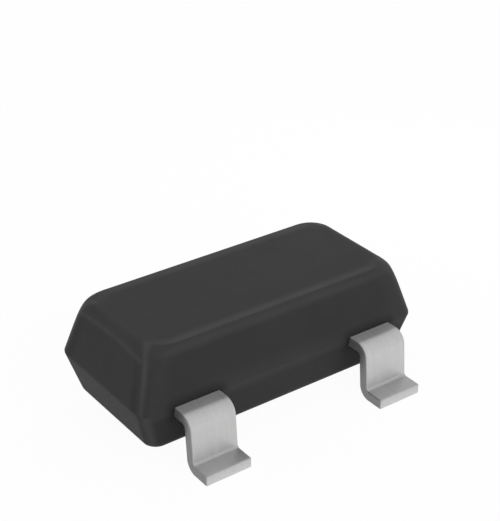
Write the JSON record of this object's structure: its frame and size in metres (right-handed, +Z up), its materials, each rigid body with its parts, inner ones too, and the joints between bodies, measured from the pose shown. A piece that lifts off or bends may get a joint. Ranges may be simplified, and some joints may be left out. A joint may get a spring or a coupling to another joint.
{
  "type": "sot-23 transistor",
  "caption": "Small surface-mount transistor: dark drafted moulded body with a parting line and bent tinned leads on both long sides, the chip and bond wires sealed inside.",
  "frame": {"origin": "on the board's face, under the middle of the part's overall box, with the undersides of the lead feet at Z = 0", "axes": "+X along the body, -Y towards the two-lead side, +Y towards the single lead, +Z up from the board"},
  "size_m": [0.003, 0.0024, 0.0011],
  "materials": {
    "mould_compound": "fine matte charcoal epoxy moulding compound",
    "tinned_lead": "matte tin plate on a stamped copper-alloy lead frame",
    "attach_layer": "silver-filled die-attach adhesive",
    "silicon": "sawn silicon chip",
    "gold_wire": "bright drawn gold bond wire"
  },
  "bodies": {
    "root": {"moulded_body": "mould_compound", "collector_lead": "tinned_lead", "base_lead": "tinned_lead", "emitter_lead": "tinned_lead", "die_attach": "attach_layer", "silicon_die": "silicon", "base_bond_wire": "gold_wire", "emitter_bond_wire": "gold_wire"}
  },
  "joints": []
}
